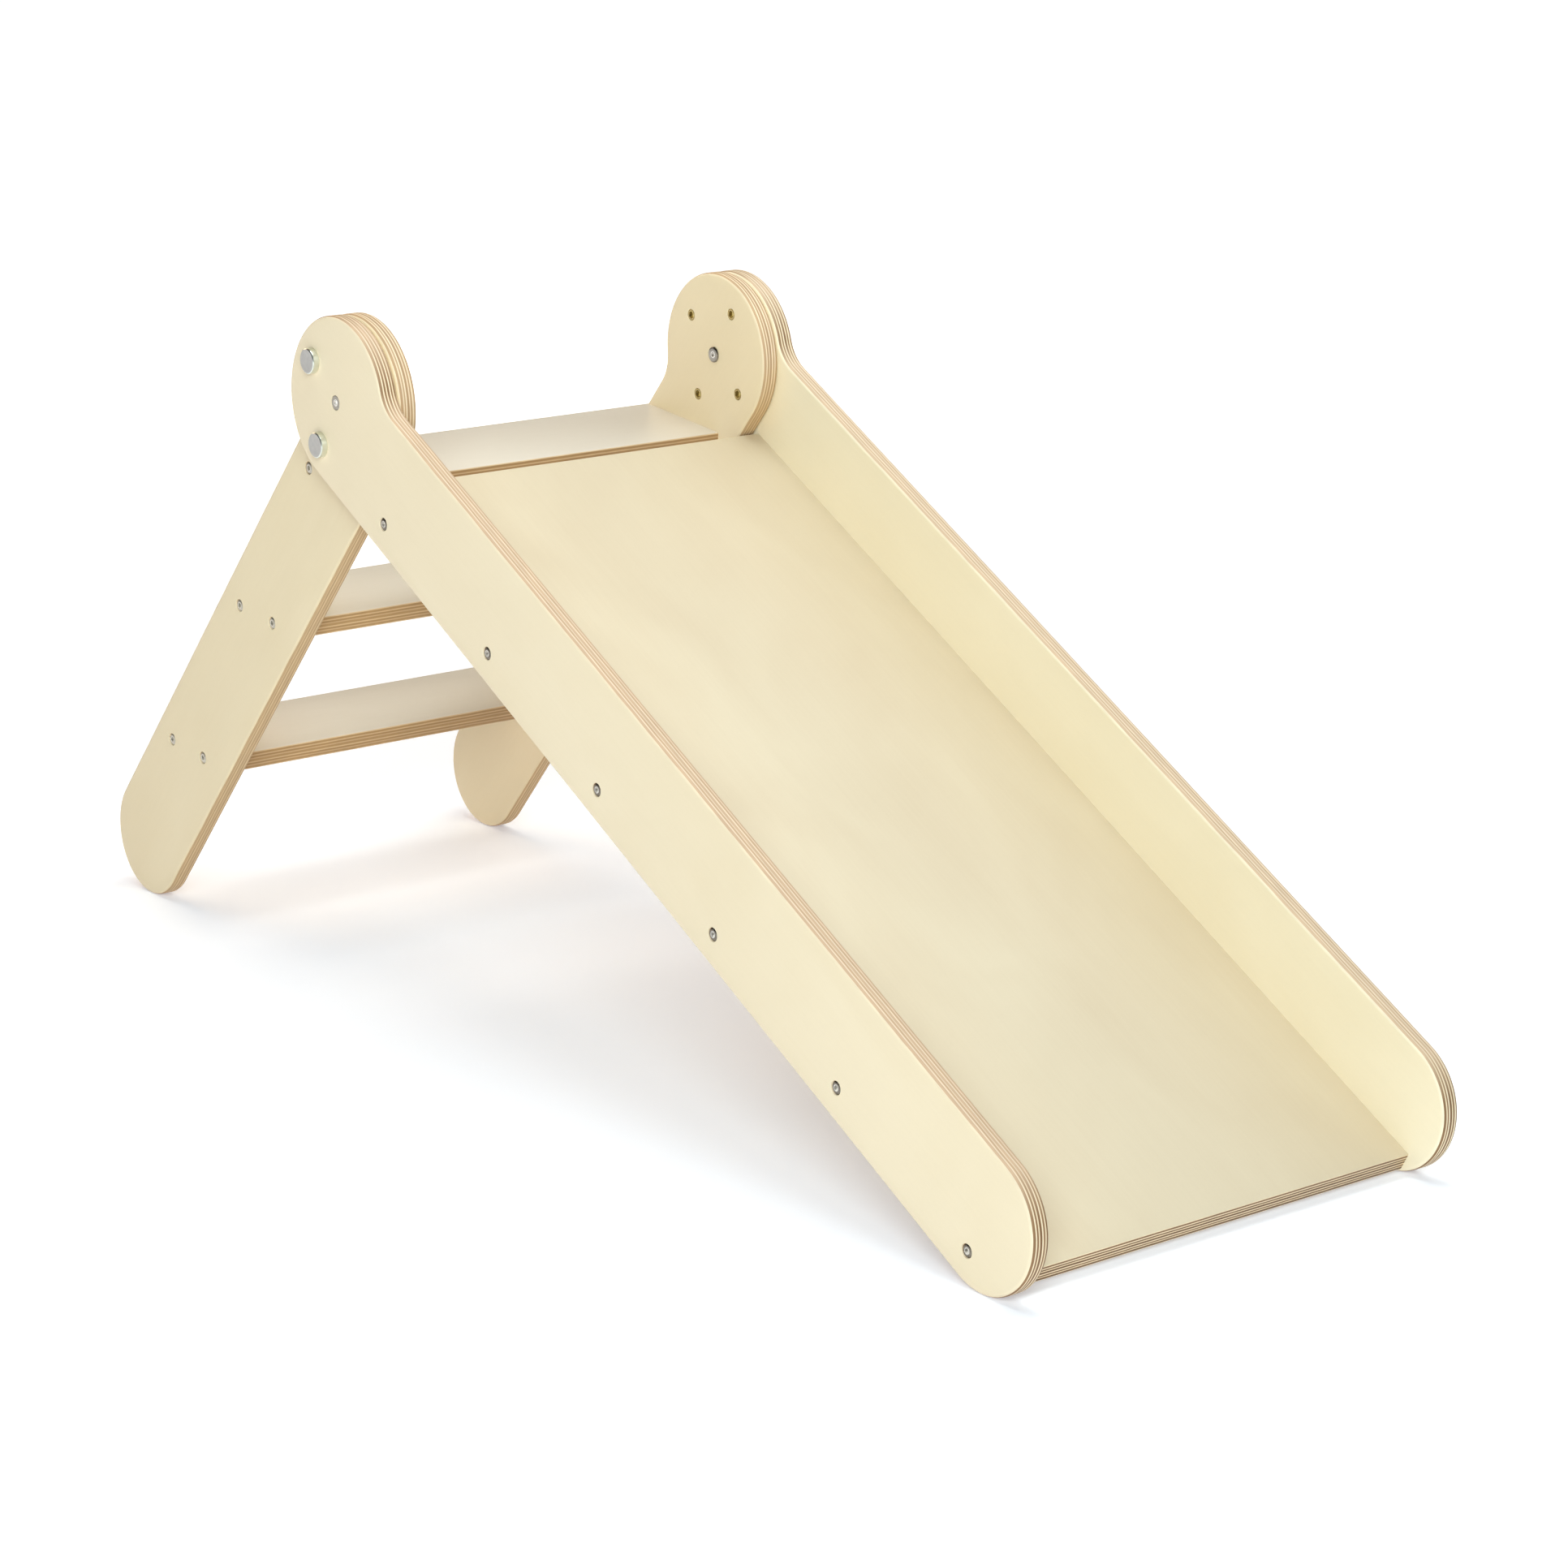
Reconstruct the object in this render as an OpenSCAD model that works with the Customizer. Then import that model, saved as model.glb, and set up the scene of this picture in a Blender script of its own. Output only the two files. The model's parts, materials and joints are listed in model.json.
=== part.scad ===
// Folding toddler slide: an A-frame of two plywood frames that share one axis at the top.
// The slide frame is two long side boards with a deck between them. The ladder frame is two short
// side boards with three steps, and stands inside the slide frame's heads.
// +X runs down the slide, +Z is up, and the origin is on the floor in the middle of the footprint.

/* [Overall] */
// Width over the two slide side boards
overall_w = 393; // [300:1:600]
// Height of the fold axis above the floor
pivot_h = 480; // [380:1:620]
// Angle of the slide below level
slide_angle = 28.1; // [22:0.1:36]
// Angle of the ladder above level
ladder_angle = 48.9; // [42:0.1:60]

/* [Boards] */
// Thickness of every board
board_t = 15; // [12:0.5:18]
// Width of the four side boards
rail_w = 102; // [85:0.5:123]
// Radius of the round head on each side board
head_r = 66.5; // [58:0.5:80]
// Radius of the hollow where the head runs into the rail
neck_r = 34; // [10:1:60]
// Gap between a slide side board and the ladder side board next to it
side_gap = 1.5; // [1:0.1:4]

/* [Deck] */
// Depth of the deck's middle plane below the fold axis, square to the slide
deck_drop = 44; // [36:0.5:54]
// Gap between the deck's upper end and the ladder's round heads
deck_head_gap = 9.5; // [6:0.5:20]
// Distance of the deck's lower end from the tip of the slide's foot
deck_foot_gap = 17.8; // [10:0.1:60]
// Number of screws through each side board into the deck
deck_screw_count = 6; // [3:1:8]
// Distance of the first and last deck screw from the deck's ends
deck_screw_inset = 34; // [20:1:60]

/* [Steps] */
// Width of each step, front to back
step_w = 99; // [80:1:99]
// Fall of each step towards its front edge
step_tilt = 6; // [0:0.5:8]
// Distance of the steps' back corners inside the ladder's back edge
step_set_in = 0.5; // [0.2:0.1:8]
// Distance down the ladder from the fold axis to the top step's front corner
top_step_at = 44.5; // [42:0.5:60]
// Distance down the ladder to the middle step's front corner
middle_step_at = 219; // [150:1:260]
// Distance down the ladder to the bottom step's front corner
bottom_step_at = 402; // [300:1:440]
// Distance between the two screws in each end of a step
step_screw_pitch = 50.8; // [30:0.1:60]
// Clearance between each end of a step and the ladder's side board
step_end_clear = 0.01; // [0.01:0.01:0.3]

/* [Screws] */
// Diameter of a screw's flat head
screw_head_d = 10.4; // [8:0.1:12]
// Diameter of a screw's shank
screw_d = 6.6; // [4:0.1:7]
// Length of a screw
screw_len = 48; // [30:1:70]
// Width across flats of the hexagonal sockets
socket_w = 4; // [3:0.5:5]
// Depth of a screw head below the board's face
screw_sink = 0.3; // [0:0.1:1]
// Clearance around screws, inserts and bolts that stay put
seat_clear = 0.05; // [0.02:0.01:0.2]

/* [Fold axis] */
// Diameter of the sleeve that the ladder turns on
sleeve_d = 8; // [7:0.1:10]
// Running clearance around the sleeve, on radius
sleeve_clear = 0.06; // [0.02:0.01:0.1]
// Diameter of the pivot bolt's shank
bolt_d = 5.8; // [5:0.1:6]
// Diameter of the bolt's head on the slide's outer face
bolt_head_d = 11.6; // [10:0.1:14]
// Thickness of the bolt's head
bolt_head_t = 2.2; // [1.5:0.1:4]
// Diameter of the sleeve nut's head on the ladder's inner face
nut_head_d = 13; // [11:0.1:16]
// Thickness of the sleeve nut's head
nut_head_t = 1.2; // [1:0.1:3]
// Diameter of the washer between the two side boards
washer_d = 24; // [18:0.5:40]
// Free play left between the washer and the ladder, and under the nut's head
side_play = 0.2; // [0.1:0.05:0.4]

/* [Locks] */
// Spacing of the four lock holes along the pattern's short side
lock_dx = 54.6; // [44:0.1:60]
// Spacing of the four lock holes along the pattern's long side
lock_dz = 64.8; // [50:0.1:70]
// Turn of the lock pattern from level
lock_turn = 7.5; // [0:0.5:12]
// Diameter of a lock knob
knob_d = 20; // [16:0.5:26]
// Height of a lock knob above the slide's face
knob_h = 5.6; // [4:0.1:10]
// Bevel on a lock knob's rim
knob_bevel = 0.8; // [0.2:0.1:1]
// Diameter of a knob's threaded stud
stud_d = 6; // [5:0.1:6]
// Clearance around a stud where it passes through the slide's side board, on radius
stud_clear = 0.35; // [0.3:0.05:0.8]
// Outer diameter of a threaded insert in the ladder
insert_d = 9.4; // [9:0.1:12]
// Length of a threaded insert
insert_len = 11; // [7:0.5:12]

/* [Hidden] */
$fn = 96;
eps = 0.01;

rail_top = rail_w - head_r;                   // rail's far edge, across from the fold axis
foot_r = rail_w / 2;
foot_off = head_r - foot_r;                   // foot's middle, across from the fold axis
neck_x = sqrt(pow(head_r + neck_r, 2) - pow(rail_top + neck_r, 2));
socket_depth = socket_w * 0.75;
head_taper = screw_head_d / 2 - screw_d / 2;  // height of the screw head's cone

// Length of each rail, so that its round foot just touches the floor
function rail_len(angle) = (pivot_h - foot_off * cos(angle) - foot_r) / sin(angle);
slide_len = rail_len(slide_angle);
ladder_len = rail_len(ladder_angle);
slide_reach = slide_len * cos(slide_angle) - foot_off * sin(slide_angle) + foot_r;
ladder_reach = ladder_len * cos(ladder_angle) - foot_off * sin(ladder_angle) + foot_r;
pivot_x = (ladder_reach - slide_reach) / 2;   // puts the footprint's middle on the origin

slide_out = overall_w / 2;                    // faces of the side boards, from the middle
slide_in = slide_out - board_t;
ladder_out = slide_in - side_gap;
ladder_in = ladder_out - board_t;
deck_w = 2 * slide_in;
step_len = 2 * (ladder_in - step_end_clear);

deck_start = sqrt(pow(head_r + deck_head_gap, 2) - pow(deck_drop, 2));  // from the fold axis
deck_len = slide_len + foot_r - deck_foot_gap - deck_start;
deck_screw_pitch = (deck_len - 2 * deck_screw_inset) / (deck_screw_count - 1);
step_across = step_w * sin(ladder_angle + step_tilt);
step_front = rail_top - step_set_in - step_across;  // front corner, across the ladder
step_ats = [top_step_at, middle_step_at, bottom_step_at];

lock_r = norm([lock_dx, lock_dz]) / 2;
lock_polar = atan(lock_dz / lock_dx);
// The two lock holes that carry knobs, upper then lower, and the two spare ones
lock_angles = [180 - lock_polar, 180 + lock_polar, lock_polar, -lock_polar];
stud_reach = board_t + side_gap / 2;          // stud below the knob, ending short of the ladder
stud_in_knob = knob_h - 1.5;

birch = [0.93, 0.89, 0.78];
birch_dull = [0.88, 0.82, 0.69];
steel = [0.72, 0.73, 0.75];
steel_dark = [0.45, 0.44, 0.42];
yellow_zinc = [0.66, 0.58, 0.38];

// ---- Places ----

// Fold axis, with +X level
module at_pivot() {
    translate([pivot_x, 0, pivot_h]) children();
}

// Slide's own frame: +X down the slide, +Z square to the deck
module slide_frame() {
    at_pivot() rotate([0, slide_angle, 0]) children();
}

// Ladder's own frame: +X down the ladder, +Z towards its front edge
module ladder_frame() {
    at_pivot() rotate([0, 180 - ladder_angle, 0]) children();
}

// Everything is drawn for the right side (-Y); the left side is its mirror image
module on_side(left) {
    if (left) mirror([0, 1, 0]) children();
    else children();
}

// Stands a fastener on the face at distance y from the middle, its head facing outwards
module on_face(x, y, z) {
    translate([x, -y, z]) rotate([90, 0, 0]) children();
}

module at_lock(i) {
    a = lock_angles[i] + lock_turn;
    translate([lock_r * cos(a), 0, lock_r * sin(a)]) children();
}

module at_deck_screws() {
    for (i = [0 : deck_screw_count - 1])
        translate([deck_start + deck_screw_inset + i * deck_screw_pitch, 0, -deck_drop]) children();
}

// Frame of one step: origin at its front top corner, +X towards the back, +Z up
module step_frame(i) {
    ladder_frame() translate([step_ats[i], 0, -step_front])
        rotate([0, ladder_angle + step_tilt, 0]) mirror([0, 0, 1]) children();
}

module at_step_screws(i) {
    step_frame(i)
        for (s = [-1, 1])
            translate([step_w / 2 + s * step_screw_pitch / 2, 0, -board_t / 2]) children();
}

// ---- Shared shapes ----

// Side board's outline: round head on the fold axis, hollow neck, straight rail, round foot
module side_outline(len) {
    circle(r = head_r);
    translate([0, -head_r]) square([len, rail_w]);
    translate([len, -foot_off]) circle(r = foot_r);
    difference() {
        polygon([[0, 0], [neck_x, rail_top + neck_r], [neck_x, 0]]);
        translate([neck_x, rail_top + neck_r]) circle(r = neck_r);
    }
}

// Side board on the right, its outer face at distance y from the middle
module side_board(len, y) {
    translate([0, -y + board_t, 0]) rotate([90, 0, 0]) linear_extrude(board_t) side_outline(len);
}

// Flat-headed screw: the head's top is at z = 0 and the shank points down
module screw_body(grow) {
    translate([0, 0, -screw_len]) cylinder(d = screw_d + 2 * grow, h = screw_len - head_taper);
    translate([0, 0, -head_taper - eps])
        cylinder(d1 = screw_d + 2 * grow, d2 = screw_head_d + 2 * grow, h = head_taper + eps);
}

module screw() {
    difference() {
        translate([0, 0, -screw_sink]) screw_body(0);
        translate([0, 0, -screw_sink - socket_depth]) hex_cut(socket_w, socket_depth + 1);
    }
}

module screw_hole() {
    translate([0, 0, -screw_sink]) screw_body(seat_clear);
    translate([0, 0, -screw_sink - eps]) cylinder(d = screw_head_d + 2 * seat_clear, h = screw_sink + 1);
}

module hex_cut(across, depth) {
    cylinder(d = across / cos(30), h = depth, $fn = 6);
}

module bore(d, from, to) {
    translate([0, 0, from]) cylinder(d = d, h = to - from);
}

// ---- Slide frame ----

module slide_side(left) {
    on_side(left) difference() {
        slide_frame() difference() {
            side_board(slide_len, slide_out);
            at_deck_screws() on_face(0, slide_out, 0) screw_hole();
        }
        at_pivot() {
            on_face(0, slide_out, 0) {
                bore(sleeve_d + 2 * seat_clear, -board_t - 1, 1);
                bore(bolt_head_d + 2 * seat_clear, -bolt_head_t - screw_sink, 1);
            }
            for (i = [0, 1])
                at_lock(i) on_face(0, slide_out, 0) bore(stud_d + 2 * stud_clear, -board_t - 1, 1);
        }
    }
}

module slide_side_left() color(birch) slide_side(true);
module slide_side_right() color(birch) slide_side(false);

module slide_deck() color(birch) slide_frame() difference() {
    translate([deck_start, -deck_w / 2, -deck_drop - board_t / 2]) cube([deck_len, deck_w, board_t]);
    for (left = [true, false])
        on_side(left) at_deck_screws() on_face(0, slide_out, 0) screw_hole();
}

module deck_screws(left) color(steel) slide_frame() on_side(left)
    at_deck_screws() on_face(0, slide_out, 0) screw();

module deck_screws_left() deck_screws(true);
module deck_screws_right() deck_screws(false);

// ---- Ladder frame ----

module ladder_side(left) {
    on_side(left) difference() {
        ladder_frame() mirror([0, 0, 1]) side_board(ladder_len, ladder_out);
        for (i = [0 : 2]) at_step_screws(i) on_face(0, ladder_out, 0) screw_hole();
        at_pivot() {
            on_face(0, ladder_out, 0) bore(sleeve_d + 2 * sleeve_clear, -board_t - 1, 1);
            for (i = [0 : 3])
                at_lock(i) on_face(0, ladder_out, 0) bore(insert_d + 2 * seat_clear, -board_t - 1, 1);
        }
    }
}

module ladder_side_left() color(birch_dull) ladder_side(true);
module ladder_side_right() color(birch_dull) ladder_side(false);

module step(i) color(birch_dull) difference() {
    step_frame(i) translate([0, -step_len / 2, -board_t]) cube([step_w, step_len, board_t]);
    for (left = [true, false])
        on_side(left) at_step_screws(i) on_face(0, ladder_out, 0) screw_hole();
}

module top_step() step(0);
module middle_step() step(1);
module bottom_step() step(2);

module step_screws(i, left) color(steel) on_side(left)
    at_step_screws(i) on_face(0, ladder_out, 0) screw();

module top_step_screws_left() step_screws(0, true);
module top_step_screws_right() step_screws(0, false);
module middle_step_screws_left() step_screws(1, true);
module middle_step_screws_right() step_screws(1, false);
module bottom_step_screws_left() step_screws(2, true);
module bottom_step_screws_right() step_screws(2, false);

// ---- Fold axis ----

// Bolt from the outer face into the sleeve nut
module pivot_bolt(left) color(steel) at_pivot() on_side(left) on_face(0, slide_out, 0) difference() {
    union() {
        bore(bolt_head_d, -screw_sink - bolt_head_t, -screw_sink);
        bore(bolt_d, -board_t - side_gap, -screw_sink - eps);
    }
    translate([0, 0, -screw_sink - 2]) hex_cut(socket_w, 4);
}

module pivot_bolt_left() pivot_bolt(true);
module pivot_bolt_right() pivot_bolt(false);

// Sleeve nut from the ladder's inner face; the ladder turns on its sleeve
module pivot_sleeve_nut(left) color(steel) at_pivot() on_side(left) on_face(0, slide_out, 0) difference() {
    inner_face = -(slide_out - ladder_in);
    union() {
        bore(sleeve_d, inner_face - side_play - eps, -screw_sink - bolt_head_t - side_play);
        bore(nut_head_d, inner_face - side_play - nut_head_t, inner_face - side_play);
    }
    bore(bolt_d + 2 * seat_clear, inner_face + 2, 1);
    translate([0, 0, inner_face - side_play - nut_head_t - 1]) hex_cut(socket_w, 1 + socket_depth);
}

module pivot_sleeve_nut_left() pivot_sleeve_nut(true);
module pivot_sleeve_nut_right() pivot_sleeve_nut(false);

module pivot_washer(left) color(steel_dark) at_pivot() on_side(left) on_face(0, slide_in, 0) difference() {
    bore(washer_d, -side_gap + side_play, 0);
    bore(sleeve_d + 2 * seat_clear, -side_gap - 1, 1);
}

module pivot_washer_left() pivot_washer(true);
module pivot_washer_right() pivot_washer(false);

// ---- Locks ----

// Insert flush with the ladder's inner face, with a hexagonal drive and a threaded hole
module lock_inserts(left) color(yellow_zinc) at_pivot() on_side(left)
    for (i = [0 : 3])
        at_lock(i) on_face(0, ladder_in, 0) difference() {
            bore(insert_d, 0, insert_len);
            bore(stud_d, -1, insert_len + 1);
            translate([0, 0, -1]) hex_cut(stud_d, 1 + insert_len / 3);
        }

module lock_inserts_left() lock_inserts(true);
module lock_inserts_right() lock_inserts(false);

module lock_knob(i, left) color(steel) at_pivot() on_side(left)
    at_lock(i) on_face(0, slide_out, 0) difference() {
        rotate_extrude() polygon([
            [0, 0], [knob_d / 2, 0], [knob_d / 2, knob_h - knob_bevel],
            [knob_d / 2 - knob_bevel, knob_h], [0, knob_h]
        ]);
        bore(stud_d + 2 * seat_clear, -1, stud_in_knob);
    }

module lock_knob_upper_left() lock_knob(0, true);
module lock_knob_lower_left() lock_knob(1, true);
module lock_knob_upper_right() lock_knob(0, false);
module lock_knob_lower_right() lock_knob(1, false);

module lock_stud(i, left) color(steel_dark) at_pivot() on_side(left)
    at_lock(i) on_face(0, slide_out, 0) bore(stud_d, -stud_reach, stud_in_knob);

module lock_stud_upper_left() lock_stud(0, true);
module lock_stud_lower_left() lock_stud(1, true);
module lock_stud_upper_right() lock_stud(0, false);
module lock_stud_lower_right() lock_stud(1, false);

slide_side_left();
slide_side_right();
slide_deck();
ladder_side_left();
ladder_side_right();
top_step();
middle_step();
bottom_step();
deck_screws_left();
deck_screws_right();
top_step_screws_left();
top_step_screws_right();
middle_step_screws_left();
middle_step_screws_right();
bottom_step_screws_left();
bottom_step_screws_right();
pivot_bolt_left();
pivot_bolt_right();
pivot_sleeve_nut_left();
pivot_sleeve_nut_right();
pivot_washer_left();
pivot_washer_right();
lock_inserts_left();
lock_inserts_right();
lock_knob_upper_left();
lock_knob_lower_left();
lock_knob_upper_right();
lock_knob_lower_right();
lock_stud_upper_left();
lock_stud_lower_left();
lock_stud_upper_right();
lock_stud_lower_right();
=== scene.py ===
"""Toddler slide in birch plywood: two frames that fold about one axis at their round heads."""
import json
import math

import bmesh
import bpy
from mathutils import Matrix, Vector


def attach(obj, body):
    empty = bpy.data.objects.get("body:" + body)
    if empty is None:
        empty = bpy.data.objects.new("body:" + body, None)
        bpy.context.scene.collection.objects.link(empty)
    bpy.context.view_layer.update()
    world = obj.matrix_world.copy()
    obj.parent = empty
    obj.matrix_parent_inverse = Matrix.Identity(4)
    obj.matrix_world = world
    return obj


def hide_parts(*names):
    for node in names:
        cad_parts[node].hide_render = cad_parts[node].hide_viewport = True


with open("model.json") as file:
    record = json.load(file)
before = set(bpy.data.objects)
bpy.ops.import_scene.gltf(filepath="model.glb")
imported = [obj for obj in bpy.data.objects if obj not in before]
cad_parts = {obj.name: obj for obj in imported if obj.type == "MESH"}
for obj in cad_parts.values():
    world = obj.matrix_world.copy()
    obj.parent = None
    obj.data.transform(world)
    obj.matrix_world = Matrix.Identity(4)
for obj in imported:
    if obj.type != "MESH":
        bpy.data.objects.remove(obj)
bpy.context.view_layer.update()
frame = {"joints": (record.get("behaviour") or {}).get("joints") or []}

# ---------------------------------------------------------------------------
# Sizes, in metres and radians
# ---------------------------------------------------------------------------
MM = 0.001
# Vertices closer than MERGE are one, and heights closer than LEVEL are the same. A face whose
# normal is nearer to upright than FLAT is flat, and an edge bent more than SHARP is sharp.
MERGE = 0.001 * MM
LEVEL = 0.002 * MM
FLAT = 0.9999
SHARP = math.radians(32)

# Boards and how the two frames stand
BOARD = 15 * MM
OVERALL_W = 393 * MM
SIDE_GAP = 1.5 * MM
SLIDE_ANGLE = math.radians(28.1)
LADDER_ANGLE = math.radians(48.9)
FOLD_AXIS = Vector(next(j["pos_m"] for j in frame["joints"] if j["name"] == "ladder_fold"))

# Side boards: straight rail, round head and foot, hollow neck, and the arcs' numbers of edges
RAIL_W = 102 * MM
HEAD_R = 66.5 * MM
NECK_R = 34 * MM
HEAD_ARC_STEPS, FOOT_ARC_STEPS, NECK_ARC_STEPS, CORNER_STEPS = 84, 56, 18, 3
RAIL_TOP = RAIL_W - HEAD_R
FOOT_R = RAIL_W / 2
FOOT_OFF = HEAD_R - FOOT_R
EDGE_ROUND = 3 * MM

# Deck, from the fold axis along the slide and square to it
DECK_DROP = 44 * MM
DECK_HEAD_GAP = 9.5 * MM
DECK_FOOT_GAP = 17.8 * MM
DECK_START = math.sqrt((HEAD_R + DECK_HEAD_GAP) ** 2 - DECK_DROP**2)
DECK_SCREWS = 6
DECK_SCREW_INSET = 34 * MM

# Steps, with their places down the ladder from the fold axis
STEP_W = 99 * MM
STEP_TILT = math.radians(6)
STEP_SET_IN = 0.5 * MM
STEP_AT = {"top": 44.5 * MM, "middle": 219 * MM, "bottom": 402 * MM}
STEP_SCREW_PITCH = 50.8 * MM
ARRIS = 0.7 * MM
STEP_ARRIS = 1.12 * MM
END_ROUND = 0.2 * MM

# Furniture screws, their countersunk seats and hexagonal sockets
SCREW_HEAD_R = 5.2 * MM
SCREW_R = 3.3 * MM
SCREW_LEN = 48 * MM
SCREW_SINK = 0.3 * MM
SCREW_THREAD_PITCH = 3 * MM
SEAT_RIM = 0.15 * MM
SEAT_LAND = 0.6 * MM
DRILL_POINT = 1.5 * MM
SOCKET_W = 4 * MM
SOCKET_DEPTH = 3 * MM

# Fold axis: sleeve nut, connector bolt and washer
SLEEVE_R = 4 * MM
BOLT_R = 2.9 * MM
BOLT_HEAD_R = 5.8 * MM
BOLT_HEAD_T = 2.2 * MM
NUT_HEAD_R = 6.5 * MM
NUT_HEAD_T = 1.2 * MM
NUT_BORE_TOP = -4.5 * MM
WASHER_R = 12 * MM
SIDE_PLAY = 0.2 * MM

# Locks: the holes' spread and turn about the fold axis, knobs, studs and inserts
LOCK_DX = 54.6 * MM
LOCK_DZ = 64.8 * MM
LOCK_TURN = math.radians(7.5)
KNOB_R = 10 * MM
KNOB_H = 5.6 * MM
KNOB_BEVEL = 0.8 * MM
KNOB_WEB = 1.5 * MM
STUD_R = 3 * MM
STUD_PITCH = 1 * MM
INSERT_R = 4.7 * MM
INSERT_LEN = 11 * MM
INSERT_SINK = 0.1 * MM
INSERT_DRIVE = 3.7 * MM
INSERT_PITCH = 2 * MM
CLEAR = 0.05 * MM
STUD_CLEAR = 0.35 * MM

# Distances of the boards' faces from the middle plane
SLIDE_OUT = OVERALL_W / 2
SLIDE_IN = SLIDE_OUT - BOARD
LADDER_OUT = SLIDE_IN - SIDE_GAP
LADDER_IN = LADDER_OUT - BOARD
STEP_FRONT = RAIL_TOP - STEP_SET_IN - STEP_W * math.sin(LADDER_ANGLE + STEP_TILT)


def rail_length(angle):
    """Distance from the fold axis to the foot's middle that puts the round foot on the floor."""
    return (FOLD_AXIS.z - FOOT_OFF * math.cos(angle) - FOOT_R) / math.sin(angle)


DECK_LEN = rail_length(SLIDE_ANGLE) + FOOT_R - DECK_FOOT_GAP - DECK_START


# ---------------------------------------------------------------------------
# Places
# ---------------------------------------------------------------------------
# Along each frame and square to it, and the steps' own directions
DOWN_SLIDE = Vector((math.cos(SLIDE_ANGLE), 0, -math.sin(SLIDE_ANGLE)))
OFF_DECK = Vector((math.sin(SLIDE_ANGLE), 0, math.cos(SLIDE_ANGLE)))
DOWN_LADDER = Vector((-math.cos(LADDER_ANGLE), 0, -math.sin(LADDER_ANGLE)))
OFF_LADDER = Vector((-math.sin(LADDER_ANGLE), 0, math.cos(LADDER_ANGLE)))
STEP_BACK = Vector((-math.cos(STEP_TILT), 0, math.sin(STEP_TILT)))
STEP_UP = Vector((math.sin(STEP_TILT), 0, math.cos(STEP_TILT)))
RIGHT = Vector((0, -1, 0))
LEFT = Vector((0, 1, 0))


def axes(origin, x, y, z):
    """Matrix that carries local X, Y and Z to the three given directions at origin."""
    m = Matrix.Identity(4)
    for col, v in enumerate((x, y, z, origin)):
        m.col[col].xyz = v
    return m


def on_right(point, out):
    """Place of a fastener whose head faces right, with its seat at distance out from the middle."""
    return axes(Vector((point.x, -out, point.z)), Vector((1, 0, 0)), Vector((0, 0, 1)), RIGHT)


def facing_in(point, out):
    """Place of a fastener that shows its head on a right-hand board's inner face."""
    return axes(Vector((point.x, -out, point.z)), Vector((1, 0, 0)), Vector((0, 0, -1)), LEFT)


def deck_screw_points():
    """The screws that hold the deck, evenly spaced along its middle plane."""
    first = DECK_START + DECK_SCREW_INSET
    pitch = (DECK_LEN - 2 * DECK_SCREW_INSET) / (DECK_SCREWS - 1)
    middle = FOLD_AXIS - DECK_DROP * OFF_DECK
    return [middle + (first + i * pitch) * DOWN_SLIDE for i in range(DECK_SCREWS)]


def step_corner(step):
    """Front top corner of a step."""
    return FOLD_AXIS + STEP_AT[step] * DOWN_LADDER + STEP_FRONT * OFF_LADDER


def step_screw_points(step):
    """The two screws at each end of a step."""
    middle = step_corner(step) + STEP_W / 2 * STEP_BACK - BOARD / 2 * STEP_UP
    return [middle + s * STEP_SCREW_PITCH / 2 * STEP_BACK for s in (-1, 1)]


def lock_points():
    """The upper and lower lock holes that hold a knob, then the two spare ones."""
    r = math.hypot(LOCK_DX, LOCK_DZ) / 2
    polar = math.atan2(LOCK_DZ, LOCK_DX)
    turns = (math.pi - polar, math.pi + polar, polar, -polar)
    return [
        FOLD_AXIS + r * Vector((math.cos(a + LOCK_TURN), 0, math.sin(a + LOCK_TURN))) for a in turns
    ]


# ---------------------------------------------------------------------------
# Mesh tools
# ---------------------------------------------------------------------------
def first_vert(bm, point):
    """Starts an outline or a profile with one vertex."""
    return bmesh.ops.create_vert(bm, co=point)["vert"][0]


def line_to(bm, start, point):
    """Draws one straight edge from a vertex to a point, and returns the new end."""
    end = bmesh.ops.extrude_vert_indiv(bm, verts=[start])["verts"][0]
    end.co = point
    return end


def arc_from(bm, start, centre, turn, steps):
    """Draws an arc from a vertex round a centre in the XY plane, and returns the new end."""
    made = bmesh.ops.spin(
        bm, geom=[start], cent=centre, axis=(0, 0, 1), angle=turn, steps=steps, use_merge=False
    )
    return next(g for g in made["geom_last"] if isinstance(g, bmesh.types.BMVert))


def close_outline(bm):
    """Joins an outline's two ends and fills it with one face that looks along +Z."""
    bmesh.ops.remove_doubles(bm, verts=bm.verts, dist=MERGE)
    face = bmesh.ops.contextual_create(bm, geom=bm.edges[:])["faces"][0]
    face.normal_update()
    if face.normal.z < 0:
        face.normal_flip()
    return face


def rail_outline(length):
    """Side board's outline: round head on the origin, hollow neck, straight rail, round foot."""
    bm = bmesh.new()
    neck_y = RAIL_TOP + NECK_R
    neck_x = math.sqrt((HEAD_R + NECK_R) ** 2 - neck_y**2)
    meet = math.atan2(neck_y, neck_x)
    v = first_vert(bm, (HEAD_R * math.cos(meet), HEAD_R * math.sin(meet), 0))
    v = arc_from(bm, v, (0, 0, 0), 1.5 * math.pi - meet, HEAD_ARC_STEPS)
    v = line_to(bm, v, (length, -HEAD_R, 0))
    v = arc_from(bm, v, (length, -FOOT_OFF, 0), math.pi, FOOT_ARC_STEPS)
    v = line_to(bm, v, (neck_x, RAIL_TOP, 0))
    arc_from(bm, v, (neck_x, neck_y, 0), meet - math.pi / 2, NECK_ARC_STEPS)
    return bm, close_outline(bm)


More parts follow.
